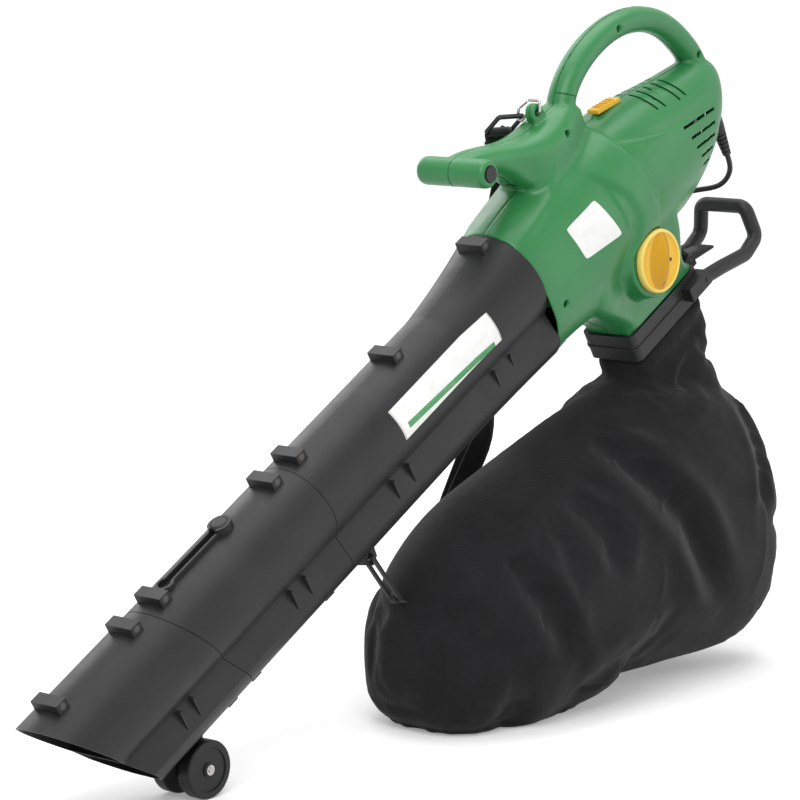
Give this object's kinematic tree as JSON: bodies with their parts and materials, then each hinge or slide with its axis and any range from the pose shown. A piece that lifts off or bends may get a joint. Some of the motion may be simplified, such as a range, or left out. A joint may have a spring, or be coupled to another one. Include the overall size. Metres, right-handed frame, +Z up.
{
  "type": "leaf blower vacuum",
  "caption": "Electric garden blower vacuum with a wheeled sectional tube, selector dial, loop handle, front grip, shoulder strap and a collecting bag on a latched frame.",
  "frame": {"origin": "on the floor, at the centre of the object's footprint box, without the free cord", "axes": "+X back along the machine from the nozzle to the handle, +Y to the operator's right, +Z up"},
  "size_m": [1.179, 0.2913, 0.8085],
  "materials": {
    "housing_green": "satin",
    "tube_black": "satin",
    "frame_black": "satin",
    "inner_black": "matte",
    "wheel_black": "satin",
    "knob_yellow": "gloss",
    "screw_steel": "satin",
    "bright_steel": "polished",
    "motor_steel": "satin",
    "brass": "satin",
    "carbon": "matte",
    "bag_fabric": "woven",
    "webbing": "woven",
    "cord_rubber": "satin",
    "label_white": "matte"
  },
  "bodies": {
    "machine": {"axle_clips": "bright_steel", "bag": "bag_fabric", "bag_frame": "frame_black", "bag_hook": "frame_black", "bag_neck_band": "frame_black", "brush_holders": "brass", "carbon_brushes": "carbon", "catch_spring": "screw_steel", "fan_diaphragm": "inner_black", "front_bearing": "bright_steel", "grip_end_caps": "frame_black", "housing_left": "housing_green", "housing_right": "housing_green", "housing_screws": "screw_steel", "intake_duct": "inner_black", "latch_pin": "screw_steel", "mains_cord": "cord_rubber", "mains_plug": "cord_rubber", "middle_tube_left": "tube_black", "middle_tube_right": "tube_black", "motor_bolts": "screw_steel", "motor_bracket": "inner_black", "motor_stator": "motor_steel", "nozzle_tube_left": "tube_black", "nozzle_tube_right": "tube_black", "plug_pins": "brass", "rating_plate": "label_white", "rear_bearing": "bright_steel", "shoulder_strap": "webbing", "snap_hook": "bright_steel", "strain_relief": "cord_rubber", "strap_ring": "frame_black", "switch_module": "inner_black", "tube_label": "label_white", "tube_screws": "screw_steel", "upper_tube_left": "tube_black", "upper_tube_right": "tube_black", "wheel_axle": "bright_steel"},
    "fan_rotor": {"impeller": "inner_black", "impeller_nut": "bright_steel", "shredder_blade": "bright_steel", "motor_shaft": "bright_steel", "rotor_core": "motor_steel", "commutator": "brass", "cooling_fan": "inner_black"},
    "selector": {"selector_knob": "knob_yellow", "selector_shaft": "inner_black", "diverter_flap": "inner_black"},
    "thumb_slide": {"slide_switch": "knob_yellow"},
    "left_wheel": {"wheel_left": "wheel_black"},
    "right_wheel": {"wheel_right": "wheel_black"},
    "latch_lever": {"bag_latch": "frame_black"},
    "tube_catch": {"catch_button": "tube_black"},
    "hook_gate": {"snap_gate": "bright_steel"}
  },
  "joints": [
    {"name": "fan_turn", "type": "hinge", "parent": "machine", "child": "fan_rotor", "pos_m": [0.3264, -0.01842, 0.60068], "axis": [0.8572, 0, 0.515], "continuous": true},
    {"name": "mode_selector", "type": "hinge", "parent": "machine", "child": "selector", "pos_m": [0.3412, -0.01842, 0.51391], "axis": [0, -1, 0], "range_deg": [0, 67]},
    {"name": "power_slide", "type": "slide", "parent": "machine", "child": "thumb_slide", "axis": [-0.9511, 0, -0.309], "range_m": [0, 0.008]},
    {"name": "left_wheel_turn", "type": "hinge", "parent": "machine", "child": "left_wheel", "pos_m": [-0.36264, -0.03842, 0.0315], "axis": [0, 1, 0], "continuous": true},
    {"name": "right_wheel_turn", "type": "hinge", "parent": "machine", "child": "right_wheel", "pos_m": [-0.36264, 0.00158, 0.0315], "axis": [0, 1, 0], "continuous": true},
    {"name": "bag_latch_turn", "type": "hinge", "parent": "machine", "child": "latch_lever", "pos_m": [0.48493, -0.01842, 0.49994], "axis": [0, 1, 0], "range_deg": [0, 35]},
    {"name": "tube_catch_press", "type": "slide", "parent": "machine", "child": "tube_catch", "axis": [0.515, 0, -0.8572], "range_m": [0, 0.003], "stiffness_N_per_m": 300},
    {"name": "hook_gate_turn", "type": "hinge", "parent": "machine", "child": "hook_gate", "pos_m": [0.20012, -0.01032, 0.70447], "axis": [-1, 0, 0], "range_deg": [0, 15], "stiffness_Nm_per_rad": 0.02}
  ]
}
